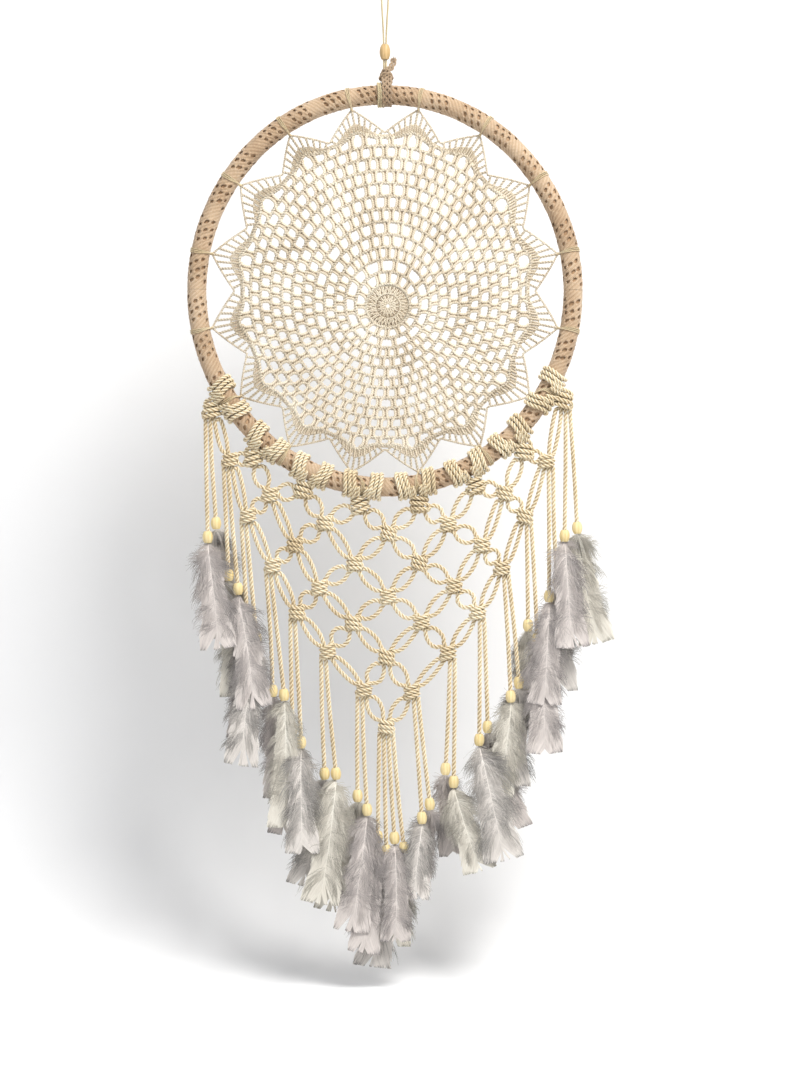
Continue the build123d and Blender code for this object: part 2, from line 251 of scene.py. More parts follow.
def smooth_line(points, spacing, closed=False):
    """Points along the NURBS spline that has these control points, about spacing apart."""
    data = bpy.data.curves.new("route", "CURVE")
    data.dimensions = "3D"
    data.resolution_u = 14
    spline = data.splines.new("NURBS")
    spline.points.add(len(points) - 1)
    for n, (x, y, z) in enumerate(points):
        spline.points[n].co = (x * MM, y * MM, z * MM, 1)
    spline.order_u = 3
    spline.use_endpoint_u = not closed
    spline.use_cyclic_u = closed
    obj = bpy.data.objects.new("route", data)
    mesh = bpy.data.meshes.new_from_object(obj)
    line = np.array([tuple(v.co) for v in mesh.vertices]) / MM
    bpy.data.objects.remove(obj)
    bpy.data.meshes.remove(mesh)
    bpy.data.curves.remove(data)
    if closed:
        line = np.vstack([line, line[:1]])
    return resample(line, spacing)


def resample(line, spacing):
    steps = np.linalg.norm(np.diff(line, axis=0), axis=1)
    along = np.concatenate([[0], np.cumsum(steps)])
    keep = np.concatenate([[True], steps > 1e-9])
    line, along = line[keep], along[keep]
    count = max(2, int(round(along[-1] / spacing)) + 1)
    wanted = np.linspace(0, along[-1], count)
    return np.column_stack([np.interp(wanted, along, line[:, k]) for k in range(3)])


def unit(vectors):
    return vectors / (np.linalg.norm(vectors, axis=-1, keepdims=True) + 1e-12)


def frames(line):
    """Two normals for each point of the line that turn as little as possible along it."""
    tangents = unit(np.gradient(line, axis=0))
    first = np.cross(tangents[0], (0.0, 1.0, 0.0))
    if np.linalg.norm(first) < 1e-3:
        first = np.cross(tangents[0], (1.0, 0.0, 0.0))
    normals = [first / np.linalg.norm(first)]
    for t in tangents[1:]:
        normals.append(unit(normals[-1] - t * np.dot(normals[-1], t)))
    normals = np.array(normals)
    return normals, np.cross(tangents, normals)


def lengths_along(line):
    return np.concatenate([[0], np.cumsum(np.linalg.norm(np.diff(line, axis=0), axis=1))])


def rings_round(line, across, up, radius, sides):
    """Rings of points round a line; across and up are one vector for each of its points."""
    angles = np.linspace(0, 2 * np.pi, sides, endpoint=False)[None, :, None]
    radius = np.broadcast_to(np.asarray(radius, float), (len(line),))[:, None, None]
    out = np.cos(angles) * across[:, None, :] + np.sin(angles) * up[:, None, :]
    return line[:, None, :] + radius * out


def tube_mesh(line, radius, sides=6):
    """(vertices, quads, uvs) of a tube; radius is a number or one for each point."""
    return skin(rings_round(line, *frames(line), radius, sides), lengths_along(line))


def skin(rings, along, closed_ends=True):
    """Quads round and along rings of points, with the two ends closed by small rounded caps."""
    count, sides, _ = rings.shape
    vertices = rings.reshape(-1, 3)
    row = np.arange(sides)
    base = np.arange(count - 1)[:, None] * sides
    a, b = base + row, base + (row + 1) % sides
    quads = np.stack([a, b, b + sides, a + sides], axis=-1).reshape(-1, 4)
    uvs = np.column_stack([np.tile(row / sides, count), np.repeat(along, sides)])
    if not closed_ends:
        return vertices, quads, uvs
    centers = rings.mean(axis=1)
    for end, inner, flip in ((0, 1, True), (count - 1, count - 2, False)):
        out = unit(centers[end] - centers[inner])
        size = np.linalg.norm(rings[end] - centers[end], axis=1).mean()
        ring = centers[end] + (rings[end] - centers[end]) * 0.55 + out * size * 0.6
        tip = np.repeat((centers[end] + out * size * 0.8)[None, :], sides, axis=0)
        first = len(vertices) + row
        vertices = np.vstack([vertices, ring, tip])
        for low, high in ((end * sides + row, first), (first, first + sides)):
            next_low, next_high = np.roll(low, -1), np.roll(high, -1)
            corners = [next_low, low, high, next_high] if flip else [low, next_low, next_high, high]
            quads = np.vstack([quads, np.stack(corners, axis=-1)])
        cap_uvs = np.column_stack([np.tile(row / sides, 2), np.full(2 * sides, along[end])])
        uvs = np.vstack([uvs, cap_uvs])
    return vertices, quads, uvs


def windings(line, pitch, phase, strands):
    """For each of the strands wound round a line, the vectors that point out of the rope and sideways."""
    across, up = frames(line)
    for k in range(strands):
        turn = (phase + 2 * np.pi * (k / strands + lengths_along(line) / pitch))[:, None]
        yield np.cos(turn) * across + np.sin(turn) * up, np.cos(turn) * up - np.sin(turn) * across


def add_rope(pile, line, radius=ROPE_RADIUS, pitch=ROPE_PITCH, phase=0.0, sides=7):
    """A laid rope: three strands wound round the line, each with u starting on its outer side, which the
    material leaves out of its painted shade.
    """
    offset = STRAND_SHARE * radius
    for out, sideways in windings(line, pitch, phase, 3):
        rings = rings_round(line + offset * out, out, sideways, offset, sides)
        pile.add(*skin(rings, lengths_along(line)))


def strand(pile, center, out, radius, sides=6):
    """A thread whose u starts on the side that out points to, the side that its material leaves out of the
    painted shade.
    """
    along = unit(np.gradient(center, axis=0))
    first = unit(out - along * np.sum(out * along, axis=1)[:, None])
    rings = rings_round(center, first, np.cross(along, first), radius, sides)
    pile.add(*skin(rings, lengths_along(center)))


def twisted(pile, line, radius, pitch, phase):
    """Two threads twisted together."""
    for out, _ in windings(line, pitch, phase, 2):
        strand(pile, line + radius * 0.85 * out, out, radius, 5)


# ---------------- materials
class Look:
    """A material and short ways to add nodes to it."""

    def __init__(self, name, roughness, sheen=0.0, subsurface=0.0):
        self.material = bpy.data.materials.new(name)
        self.material.use_nodes = True
        self.nodes, self.links = self.material.node_tree.nodes, self.material.node_tree.links
        self.principled = self.nodes["Principled BSDF"]
        for socket, value in (("Roughness", roughness), ("Sheen Weight", sheen), ("Sheen Roughness", 0.5),
                              ("Specular IOR Level", 0.25), ("Subsurface Weight", subsurface),
                              ("Subsurface Radius", (1.0, 0.7, 0.45)), ("Subsurface Scale", 0.0015)):
            self.principled.inputs[socket].default_value = value

    def node(self, kind, output, inputs, **settings):
        """The output of a new node; each of its inputs gets a link or a plain value."""
        node = self.nodes.new("ShaderNode" + kind)
        for setting, value in settings.items():
            setattr(node, setting, value)
        for socket, value in inputs.items():
            if isinstance(value, bpy.types.NodeSocket):
                self.links.new(value, node.inputs[socket])
            else:
                node.inputs[socket].default_value = value
        return node.outputs[output]

    def math(self, operation, a, b=0.0):
        return self.node("Math", "Value", {0: a, 1: b}, operation=operation)

    def total(self, *terms):
        """The sum of values, each given with its weight."""
        weighted = [self.math("MULTIPLY", value, weight) for value, weight in terms]
        result = weighted[0]
        for term in weighted[1:]:
            result = self.math("ADD", result, term)
        return result

    def uv(self):
        split = self.nodes.new("ShaderNodeSeparateXYZ")
        self.links.new(self.node("TexCoord", "UV", {}), split.inputs["Vector"])
        return split.outputs["X"], split.outputs["Y"]

    def position(self, upright=1.0):
        """The position on the object in metres, with its height multiplied."""
        return self.node("Mapping", "Vector", {"Vector": self.node("TexCoord", "Object", {}),
                                               "Scale": (1, 1, upright)})

    def noise(self, scale, detail, upright=1.0):
        return self.node("TexNoise", "Fac", {"Vector": self.position(upright), "Scale": scale,
                                             "Detail": detail})

    def paint(self, tone, stops):
        """The base colour, from a tone and (tone, colour) stops."""
        node = self.nodes.new("ShaderNodeValToRGB")
        elements = node.color_ramp.elements
        while len(elements) < len(stops):
            elements.new(0.5)
        for element, (position, color) in zip(elements, stops):
            element.position = position
            element.color = (*color, 1)
        self.links.new(tone, node.inputs["Fac"])
        self.links.new(node.outputs["Color"], self.principled.inputs["Base Color"])

    def bump(self, height, strength, distance):
        normal = self.node("Bump", "Normal", {"Strength": strength, "Distance": distance, "Height": height})
        self.links.new(normal, self.principled.inputs["Normal"])


def yarn_material(name, dark, middle, light, yarns=5, slant=0.35, painted_groove_shade=0.4, open_side=(0.8, 0.1)):
    """Cotton whose fine yarns run round and along the strand; u goes round it, v along it in mm. It has
    painted shade, darker in the hollow beside the next strand: open_side is where that painted shade starts
    and where it is full."""
    look = Look(name, 0.85, 0.15, 0.06)
    u, v = look.uv()
    wave = look.math("SINE", look.total((u, 2 * math.pi * yarns), (v, 2 * math.pi * slant)))
    fuzz = look.noise(900, 3)
    patches = look.noise(28, 3)
    # painted shade: the strand darkens as it turns from u = 0 towards the hollow beside the next strand
    facing = look.math("COSINE", look.math("MULTIPLY", u, 2 * math.pi))
    start, end = open_side
    lit = look.node("MapRange", "Result", {"From Min": end, "From Max": start, "Value": facing},
                    interpolation_type="SMOOTHSTEP")
    tone = look.total((wave, 0.10), (fuzz, 0.35), (patches, 0.65), (look.math("SUBTRACT", 1, lit), -painted_groove_shade))
    # the darkest stop, reached where the painted shade meets dark patches
    deepest = tuple(0.65 * c for c in dark)
    look.paint(look.math("ADD", tone, 0.08), [(0.05, deepest), (0.3, dark), (0.5, middle), (0.72, light)])
    look.bump(look.total((wave, 0.5), (fuzz, 1)), 0.6, 0.0004)
    return look.material


rope_cotton = yarn_material("rope_cotton", (0.66, 0.50, 0.29), (0.87, 0.74, 0.51), (0.94, 0.87, 0.68),
                            painted_groove_shade=0.34)
loop_cotton = yarn_material("loop_cotton", (0.50, 0.39, 0.22), (0.70, 0.58, 0.36), (0.82, 0.72, 0.50),
                            3, 0.6, 0.3)
thread_cotton = yarn_material("thread_cotton", (0.45, 0.365, 0.255), (0.65, 0.56, 0.43), (0.80, 0.73, 0.60),
                              2, 0.5, 0.3, (0.7, -0.4))
# painted shade: a dark cotton only for threads and sheets put where gaps in the web and the hanger knot
# would be in shade
painted_shade_cotton = yarn_material("painted_shade_cotton", (0.16, 0.115, 0.07), (0.26, 0.20, 0.13), (0.36, 0.29, 0.20),
                            2, 0.5, 0.2)
tie_cotton = yarn_material("tie_cotton", (0.58, 0.44, 0.25), (0.76, 0.61, 0.38), (0.86, 0.75, 0.53),
                           2, 0.5, 0.25)


def wood_material(name, dark, light, ring_scale, roughness):
    look = Look(name, roughness, 0.0, 0.05)
    wave = look.node("TexWave", "Fac", {"Vector": look.position(0.22), "Scale": ring_scale,
                                        "Distortion": 3.5, "Detail": 2, "Detail Scale": 1.5})
    grain = look.noise(1400, 4, 0.12)
    tone = look.total((wave, 0.16), (grain, 0.34), (look.noise(45, 2), 0.50))
    look.paint(tone, [(0.3, dark), (0.7, light)])
    look.bump(grain, 0.25, 0.0003)
    return look.material


bead_wood = wood_material("bead_wood", (0.66, 0.50, 0.22), (0.85, 0.72, 0.42), 90, 0.45)
hanger_bead_wood = wood_material("hanger_bead_wood", (0.44, 0.29, 0.12), (0.70, 0.50, 0.27), 90, 0.45)
rattan = wood_material("rattan", (0.34, 0.20, 0.11), (0.54, 0.36, 0.21), 60, 0.6)


def lace_material():
    """Knitted cotton: slanting ribs of small stitches; u runs round the hoop's tube, v along the hoop."""
    look = Look("lace_cotton", 0.9, 0.2, 0.08)
    u, v = look.uv()
    u = look.math("MULTIPLY", u, 2 * math.pi * RIBS_ROUND)
    v = look.math("MULTIPLY", v, 2 * math.pi / RIB_PITCH)
    ribs = look.math("SINE", look.math("ADD", u, v))
    cross = look.math("SINE", look.total((v, 2), (u, -3)))
    stitches = look.math("ADD", ribs, cross)
    fuzz = look.noise(1100, 4)
    look.paint(look.total((stitches, 0.055), (fuzz, 0.4), (look.noise(22, 3), 0.6)),
               [(0.3, (0.30, 0.19, 0.11)), (0.5, (0.49, 0.35, 0.225)), (0.7, (0.63, 0.49, 0.35))])
    look.bump(look.total((stitches, 0.35), (fuzz, 1)), 0.6, 0.0006)
    return look.material


lace_cotton = lace_material()


def feather_material(name, *colors):
    """u carries a barb's tone, from dark down at 0 to a pale vane at 1; v runs along the barb."""
    look = Look(name, 0.7, 0.3)
    u, _ = look.uv()
    varied = look.total((look.noise(420, 4, 0.25), 0.22), (look.noise(48, 3), 0.40))
    tone = look.math("ADD", u, look.math("SUBTRACT", varied, 0.31))
    look.paint(tone, list(zip((0.0, 0.35, 0.7, 1.0), colors)))
    return look.material


feather_looks = [
    feather_material("feather_lilac", (0.17, 0.16, 0.155), (0.43, 0.39, 0.375), (0.58, 0.53, 0.50),
                     (0.76, 0.70, 0.66)),
    feather_material("feather_grey", (0.16, 0.155, 0.145), (0.42, 0.395, 0.37), (0.63, 0.59, 0.55),
                     (0.81, 0.765, 0.715)),
    feather_material("feather_cream", (0.24, 0.225, 0.19), (0.48, 0.45, 0.39), (0.69, 0.65, 0.57),
                     (0.82, 0.79, 0.71)),
]


# ---------------- tails: ropes, beads
def tail_routes(row, number, ropes):
    """(route, tilt) of each rope of a tail: its points from the knot to the bead, and the bead's tilt."""
    knot_x, knot_z = knot_place(row, number if number >= 0 else GROUPS - row)
    top = knot_z - PIVOT_DROP
    routes = []
    for sideways, drop, _ in ropes:
        route = [(knot_x + x, 0.0, top - h * drop) for x, h in zip(sideways, TAIL_HEIGHTS)]
        (x0, _, z0), (x1, _, z1) = route[-2:]
        routes.append((route, math.atan2(x1 - x0, z0 - z1)))
    return routes


tail_places = {}
for name, (row, number, ropes) in TAILS.items():
    body = f"tail_{name}"
    bead_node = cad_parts[f"{body}_beads"]
    recolor(bead_node, bead_wood)
    for n, (route, tilt) in enumerate(tail_routes(row, number, ropes)):
        line = smooth_line(route, 1.5)
        head = np.array([line[0] + (0, 0, 2.4), line[0] + (0, 0, 1.2)])
        pile = Pile()
        add_rope(pile, np.vstack([head, line]), phase=1.3 * n + row)
        rope = pile.make(f"{body}_rope_{n + 1}", rope_cotton, body, "rope", [f"{body}_cords"])
        float(lengths_along(line)[-1]) * MM
        tail_places[name, n] = (route[-1], tilt)

# ---------------- hanging loop and its bead
LOOP_RADIUS = 1.0
LOOP_PITCH = 5.0
LOOP_ROUTE = [(-1.15, -64.0), (-1.25, -50), (-2.3, -30), (-3.5, -12), (-3.3, 1),
              (3.3, 1), (3.5, -12), (2.3, -30), (1.25, -50), (1.15, -64.0)]
pile = Pile()
loop_line = smooth_line([(x, 0, z) for x, z in LOOP_ROUTE], 0.9)
add_rope(pile, loop_line, LOOP_RADIUS, LOOP_PITCH)
loop = pile.make("hanging_loop_cord", loop_cotton, "hanger", "thin_cord", ["hanging_loop"])
float(lengths_along(loop_line)[-1]) * MM

pile = Pile()
for side in (-1, 1):
    places = [(side * 1.15, 0, -63.9), (side * 1.1, 0, -73), (side * 0.9, 0, -84.5)]
    strand_line = resample(np.array(places), 0.9)
    add_rope(pile, strand_line, LOOP_RADIUS, LOOP_PITCH)
pile.make("hanger_strands", loop_cotton, "hanger_cord", "thin_cord", ["hanger_cord"])

recolor(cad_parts["hanger_bead"], hanger_bead_wood)
recolor(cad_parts["hoop_ring"], rattan)

# ---------------- the net: each rope from the hoop down
# Strands of a square knot, from its top to its bottom, in the knot's own frame: the two outer ones
# work round the two in the middle.
WORKING_LEFT = [(-5.4, 0.0, 7.2), (-4.8, -3.4, 6.0), (0.2, -5.2, 4.6), (5.4, -3.2, 3.2), (7.2, 0.8, 2.2),
                (4.4, 4.2, 1.2), (-4.0, 4.2, -0.8), (-7.2, 0.8, -2.0), (-5.4, -3.6, -3.0),
                (0.2, -5.4, -4.4), (5.2, -3.4, -5.6), (6.2, 0.8, -6.2), (2.4, 4.0, -6.4), (-3.4, 2.8, -6.6),
                (-5.4, 0.2, -7.4)]
WORKING_RIGHT = [(5.4, -0.8, 7.2), (6.8, -0.8, 5.2), (4.2, 3.8, 4.2), (-4.0, 4.0, 3.2), (-7.2, 0.4, 2.2),
                 (-5.2, -4.2, 1.2), (0.0, -5.8, 0.0), (5.2, -4.2, -1.2), (7.4, -0.2, -2.4),
                 (6.8, -0.8, -4.6), (5.6, -0.4, -7.4)]
MIDDLE_LEFT = [(-2.1, 0.6, 5.6), (-1.9, 0.4, 0.0), (-2.1, 0.6, -5.6)]
MIDDLE_RIGHT = [(2.1, 0.6, 5.6), (1.9, 0.4, 0.0), (2.1, 0.6, -5.6)]
STRANDS = [WORKING_LEFT, MIDDLE_LEFT, MIDDLE_RIGHT, WORKING_RIGHT]


def knot_strand(row, number, role):
    """Control points of one of a knot's four strands, the knot a little turned and tied by hand."""
    x, z = knot_place(row, number)
    chance = random.Random(100 * row + number)
    turn = math.radians(chance.uniform(-9, 9))
    strand = STRANDS[role]
    if chance.random() < 0.5:
        strand = [(-px, py, pz) for px, py, pz in STRANDS[3 - role]]
    size = RING_KNOT_SIZE if row == 1 else 1.0
    c, s = size * math.cos(turn), size * math.sin(turn)
    return [(x + px * c - pz * s, size * py, z + px * s + pz * c) for px, py, pz in strand]


def between_knots(above, below, side):
    """Control points of a rope from one knot to the next; side is -1 for the left rope of the pair."""
    sideways, upward = PAIR_ANCHOR
    sideways = math.copysign(sideways, below[0] - above[0])
    a = np.array((above[0] + sideways, 0, above[1] - upward))
    b = np.array((below[0] - sideways, 0, below[1] + upward))
    length = np.linalg.norm(b - a)
    d = (b - a) / length
    out = np.array((-d[2], 0, d[0])) * side
    bow = BOW_LEAST + BOW_SHORT * max(0.0, (LONG_LINK - length) / 17) ** 1.3
    bow = min(bow, BOW_MOST, 0.2 * length)
    chance = random.Random(int(abs(a[0] * 31 + b[2] * 17)) + (side > 0))
    near = min(5.5, 0.2 * length)
    points = [a + d * near + out * (PAIR_HALF_GAP + 0.35 * bow)]
    for share in (0.36, 0.66):
        lift = PAIR_HALF_GAP + bow * chance.uniform(0.95, 1.3)
        points.append(a + d * length * share + out * lift + np.array((0, chance.uniform(-0.8, 0.8), 0)))
    points.append(b - d * near + out * (PAIR_HALF_GAP + 0.2 * bow))
    return points


def net_rope(group, role):
    """Control points of the rope that enters the group's first knot in that role, down to its last knot."""
    row, number = 1, group
    angle = group_angle(group)
    wing = -1 if role < 2 else 1
    lane = (5.2, 2.2, 2.2, 5.2)[role]
    shift = math.degrees(lane / (HOOP_HALF_HEIGHT - OVAL_OFFSET)) * wing
    points = [on_hoop(angle + 1.9 * shift, 80, HITCH_RADIUS), on_hoop(angle + 1.5 * shift, 35, 13.2)]
    while True:
        points += knot_strand(row, number, role)
        goes_left = role < 2
        if goes_left and number == 0 or not goes_left and number == GROUPS - row or row == GROUPS:
            return points
        below = knot_place(row + 1, number - goes_left)
        side = -1 if role % 2 == 0 else 1
        points += between_knots(knot_place(row, number), below, side)
        number -= goes_left
        row += 1
        role = (role + 2) % 4


for half, groups, replaced in (("left", range(0, 4), ["net_knots", "net_cords_upper"]),
                               ("right", range(4, 8), ["ring_knots", "net_cords_lower"])):
    for part, roles in (("outer", (0, 3)), ("inner", (1, 2))):
        pile = Pile()
        for group in groups:
            for role in roles:
                add_rope(pile, smooth_line(net_rope(group, role), 1.5), phase=0.9 * group + role, sides=6)
        pile.make(f"net_ropes_{half}_{part}", rope_cotton, "hoop", "rope", replaced)

# ---------------- hitches round the hoop
pile = Pile()
around = np.arange(0, 360, 24)
front, outward = np.sin(np.radians(around)), np.cos(np.radians(around))
slant = -outward * (0.75 * np.maximum(0.0, front) + 0.25)
for group in range(GROUPS):
    for wing in (-1, 1):
        for turn in range(3):
            middle = HITCH_OFFSET + 0.15 + (turn - 1) * 1.45
            raised = HITCH_RADIUS + 0.35 * math.sin(2.1 * turn + group)
            points = on_hoop(group_angle(group) + wing * (middle + slant), around, raised)
            add_rope(pile, smooth_line(points, 1.6, closed=True), phase=turn + group, sides=6)
pile.make("hitch_ropes", rope_cotton, "hoop", "rope", ["hoop_hitches"])

# ---------------- feathers
BARB_STEP = 0.42
BARB_POINTS = 9            # points along each barb
BARB_SHARES = np.linspace(0, 1, BARB_POINTS)
VANE_START = 3.0
VANE_END = 0.94            # as a share of the feather's length
FAN_START = 0.38           # and where the vane opens into the blunt tip
VANE_PROFILE = np.array([0.45, 0.75, 0.9, 0.95, 0.95, 0.9, 0.85, 0.75, 0.6])
DOWN_BARBS = 1600
DOWN_TUFTS = 60
DEPTH = np.array((0.0, 1.0, 0.0))


def ribbons(points, sideways, widths, tones):
    """Vertices, quads and uvs of many ribbons at once: points is (ribbons, steps, 3), sideways a unit
    vector for each point; u carries the tone, v runs along the ribbon."""
    count, steps, _ = points.shape
    half = sideways * widths[..., None] / 2
    vertices = np.stack([points - half, points + half], axis=2).reshape(-1, 3)
    first = (np.arange(count)[:, None] * steps + np.arange(steps - 1)[None, :]) * 2
    quads = np.stack([first, first + 1, first + 3, first + 2], axis=-1).reshape(-1, 4)
    v = np.repeat(np.tile(np.linspace(0, 1, steps), count), 2)
    return vertices, quads, np.column_stack([np.repeat(tones.reshape(-1), 2), v])


def bezier(p0, p1, p2):
    t = BARB_SHARES[None, :, None]
    return (1 - t) ** 2 * p0[:, None, :] + 2 * t * (1 - t) * p1[:, None, :] + t ** 2 * p2[:, None, :]


def offsets(x, y):
    return np.stack([x, y, 0 * x], axis=-1)


def feather(pile, seed, length, width, level):
    """A feather that hangs from the origin in X (across), Y (depth) and Z: shaft, vane and down."""
    chance = np.random.default_rng(seed)
    half = width / 2 + 0.5
    bend = chance.uniform(-3.2, 3.2)
    face = 1 if level > 0 else -1
    curl = chance.uniform(0.3, 1.4) * face

    def shaft_at(s):
        t = np.clip(s / 14.0, 0, 1)
        depth = level * t * t * (3 - 2 * t)
        r = s / length
        return np.stack([bend * np.sin(np.pi * r * 0.9), depth + curl * r * r, -s], axis=-1)

    # the shaft
    s = np.linspace(-1.5, length * 0.93, 34)
    thickness = 0.42 * (1 - 0.9 * np.clip(s / length, 0, 1)) + 0.08
    vertices, quads, uvs = tube_mesh(shaft_at(s), thickness)
    uvs[:, 0] = 0.93
    pile.add(vertices, quads, uvs)

    # the vane: barbs that leave the shaft, bend along it, and end at a blunt cut tip in lobes
    splits = np.sort(chance.uniform(-0.55, 0.6, chance.integers(1, 4))) * half
    openings = chance.uniform(1.2, 4.0, len(splits))
    for side in (-1, 1):
        roots = np.arange(VANE_START, length * VANE_END, BARB_STEP)
        count = len(roots)
        roots = roots + chance.uniform(-0.2, 0.2, count)
        t = (roots - VANE_START) / (length - VANE_START)
        fan = np.clip((t - FAN_START) / 0.12, 0, 1)
        swell = 0.50 + 0.28 * np.clip(t / 0.3, 0, 1) + 0.26 * fan
        across = half * swell * np.clip((0.945 - t) / 0.33, 0, 1) ** 0.85
        reach = half * (0.85 + 1.5 * t)
        clump = np.sin(roots * 0.55 + chance.uniform(0, 6)) * 0.5
        clump = clump + np.sin(roots * 1.3 + chance.uniform(0, 6)) * 0.3
        across = across * (1 + 0.10 * clump + chance.uniform(-0.12, 0.06, count))
        cut = length - 0.10 * across * chance.uniform(0.2, 1.2) - chance.uniform(0, 1.0, count)
        ends = np.minimum(roots + reach * (1 + 0.08 * clump), cut)
        stretch = np.clip((t - FAN_START) / 0.14, 0, 1)
        ends = ends * (1 - stretch) + np.maximum(ends, cut) * stretch
        x = side * across
        for split, opening in zip(splits, openings):
            parting = np.where(x > split, 1, -1) * opening * np.exp(-np.abs(x - split) / 7)
            x = x + parting * (ends > length * 0.8)
        x = np.clip(x, -half * 1.05, half * 1.05)
        lobe = sum(np.where(x > split, 1.0, 0.0) for split in splits)
        depth = face * (0.5 * np.sin(2.4 * lobe + seed) - 0.0022 * x * x)
        end = shaft_at(ends) + offsets(x, depth + chance.uniform(-0.15, 0.15, count))
        knee = shaft_at(roots + 0.40 * (ends - roots)) + offsets(x * (0.62 - 0.24 * stretch), depth * 0.5)
        points = bezier(shaft_at(roots), knee, end)
        sideways = unit(np.cross(unit(np.gradient(points, axis=1)), DEPTH) + 0.28 * side * DEPTH)
        widths = np.repeat(VANE_PROFILE[None, :], count, axis=0)
        tones = 0.50 + 0.26 * t[:, None] + 0.14 * BARB_SHARES[None, :]
        tones = tones + 0.09 * clump[:, None] + chance.uniform(-0.09, 0.09, (count, 1))
        # painted shade: the vane darker close to the shaft
        tones = tones * (1 - 0.2 * np.exp(-(x / 1.6) ** 2))[:, None]
        ragged = (ends > length - 4) & (chance.random(count) < 0.65)
        tones[ragged, -1] = 0.05
        pile.add(*ribbons(points, sideways, widths, tones))

    # down: thin loose barbs in tufts, most of them near the bead and along the sides
    count = DOWN_BARBS
    tufts = chance.random(DOWN_TUFTS)
    tuft = chance.integers(0, DOWN_TUFTS, count)
    roots = 0.5 + (length * 0.76) * tufts[tuft] ** 1.25 + chance.normal(0, 2.2, count)
    roots = np.clip(roots, 0.5, length * 0.8)
    t = roots / length
    side = np.where(tuft % 2 == 0, -1.0, 1.0)
    size = 0.72 + 0.34 * np.sin(2.7 * tuft + seed)
    out = half * size * chance.uniform(0.55, 1.35, count) * (0.62 + 0.38 * np.clip(t / 0.08, 0, 1))
    drop = half * (0.75 + 0.6 * np.sin(1.9 * tuft)) + chance.normal(0, 3.4, count)
    drop = np.minimum(drop, length * 0.97 - roots)
    fluff = chance.normal(0, 1, count) * 2.4 * np.clip(1.3 - 1.8 * t, 0.3, 1)
    end = shaft_at(roots + drop) + offsets(side * out, np.clip(fluff, -3.4, 3.4))
    knee = shaft_at(roots + drop * chance.uniform(0.0, 0.5, count))
    knee = knee + offsets(side * out * chance.uniform(0.5, 0.9, count), fluff * 0.5)
    points = bezier(shaft_at(roots), knee, end)
    wave = np.sin(BARB_SHARES[None, :] * 6.5 + chance.uniform(0, 6, count)[:, None])
    points[..., 2] += wave * BARB_SHARES[None, :] * 1.2
    points[..., 1] += np.roll(wave, 2, axis=0) * BARB_SHARES[None, :] * 0.5
    sideways = unit(np.cross(unit(np.gradient(points, axis=1)), np.array((0.0, 1.0, 0.3))))
    widths = np.repeat(np.linspace(0.6, 0.18, BARB_POINTS)[None, :], count, axis=0)
    tones = 0.66 + 0.22 * np.sin(2.3 * tuft + 0.7)[:, None] + chance.uniform(-0.16, 0.16, (count, 1))
    tones = tones - 0.62 * (np.abs(out) / half)[:, None] ** 1.5 * BARB_SHARES[None, :] ** 1.4
    pile.add(*ribbons(points, sideways, widths, np.clip(tones, 0.16, 1.0)))


def turn_about_y(vertices, degrees):
    """Turned so that what points down leans towards +X."""
    c, s = math.cos(math.radians(degrees)), math.sin(math.radians(degrees))
    x, y, z = vertices.T
    return np.column_stack([x * c - z * s, y, x * s + z * c])


feather_number = 0
for name, (row, _, ropes) in TAILS.items():
    for n, (_, _, (lean, length, width)) in enumerate(ropes):
        (x, _, z), tilt = tail_places[name, n]
        level = FEATHER_LEVELS[row % 4] if n < 2 else LAST_LEVEL
        pile = Pile()
        feather(pile, 40 + feather_number, length, width, level if n % 2 else -level)
        bottom = np.array((x + BEAD_HALF_LENGTH * math.sin(tilt), 0, z - BEAD_HALF_LENGTH * math.cos(tilt)))
        pile.vertices = [turn_about_y(v, lean) + bottom for v in pile.vertices]
        look = feather_looks[(0, 1, 0, 2, 1, 0, 2)[feather_number % 7]]
        body = f"tail_{name}"
        pile.make(f"{body}_feather_{n + 1}", look, body, "feather", [f"{body}_feathers"], wrap_u=False)
        feather_number += 1

# ---------------- the crocheted web
DISC_CENTER = np.array((3.0, 0.0, -321.2))
DISC_RADIUS = 22.2
ROUND_HOLES = [16, 16, 32, 32, 32, 48, 48, 48, 64, 64, 64, 64]
CHAIN_SHARES = [0.0, 0.085, 0.17, 0.252, 0.338, 0.425, 0.512, 0.60, 0.687, 0.773, 0.86, 0.94, 1.0]
STAR_TIPS = 16
TIP_STEP = 360 / STAR_TIPS
TIP_GAP = 12.0             # how far inside the hoop's centreline a tip ends, and a valley between tips
VALLEY_GAP = 38.0
THREAD = 0.8
BAND_THREADS = 400
TIP_SPOKES = 11
web_chance = random.Random(7)


def tip_share(degrees):
    """1 at a star tip's angle, 0 halfway between two tips."""
    return 1 - abs((degrees / TIP_STEP) % 1 - 0.5) * 2


def round_gap(degrees):
    """How far inside the hoop's centreline the last even round of holes ends."""
    return 46.6 - 4.1 * math.sin(math.radians(degrees)) ** 2


def web_edge_gap(degrees):
    """The same with the bulge at each tip, the band outside it not counted."""
    bulge = max(0.0, tip_share(degrees) - 0.35) / 0.65
    return round_gap(degrees) - 8.0 * bulge ** 1.3


def outline_gap(degrees):
    return VALLEY_GAP - (VALLEY_GAP - TIP_GAP) * tip_share(degrees) ** 1.08


def band_gap(degrees):
    """How far inside the hoop's centreline the solid band ends; it is thin between two tips."""
    band = 1.8 + 6.0 * min(1.0, max(0.0, 2.2 * tip_share(degrees) - 0.5))
    return max(web_edge_gap(degrees) - band, outline_gap(degrees) + 0.3)


def edge_point(degrees, gap):
    x, z = hoop_point(degrees, -gap)
    return np.array((x, 0.0, z))


def disc_point(radius, degrees, depth=0.0):
    a = math.radians(degrees)
    return DISC_CENTER + np.array((radius * math.cos(a), depth, radius * math.sin(a)))


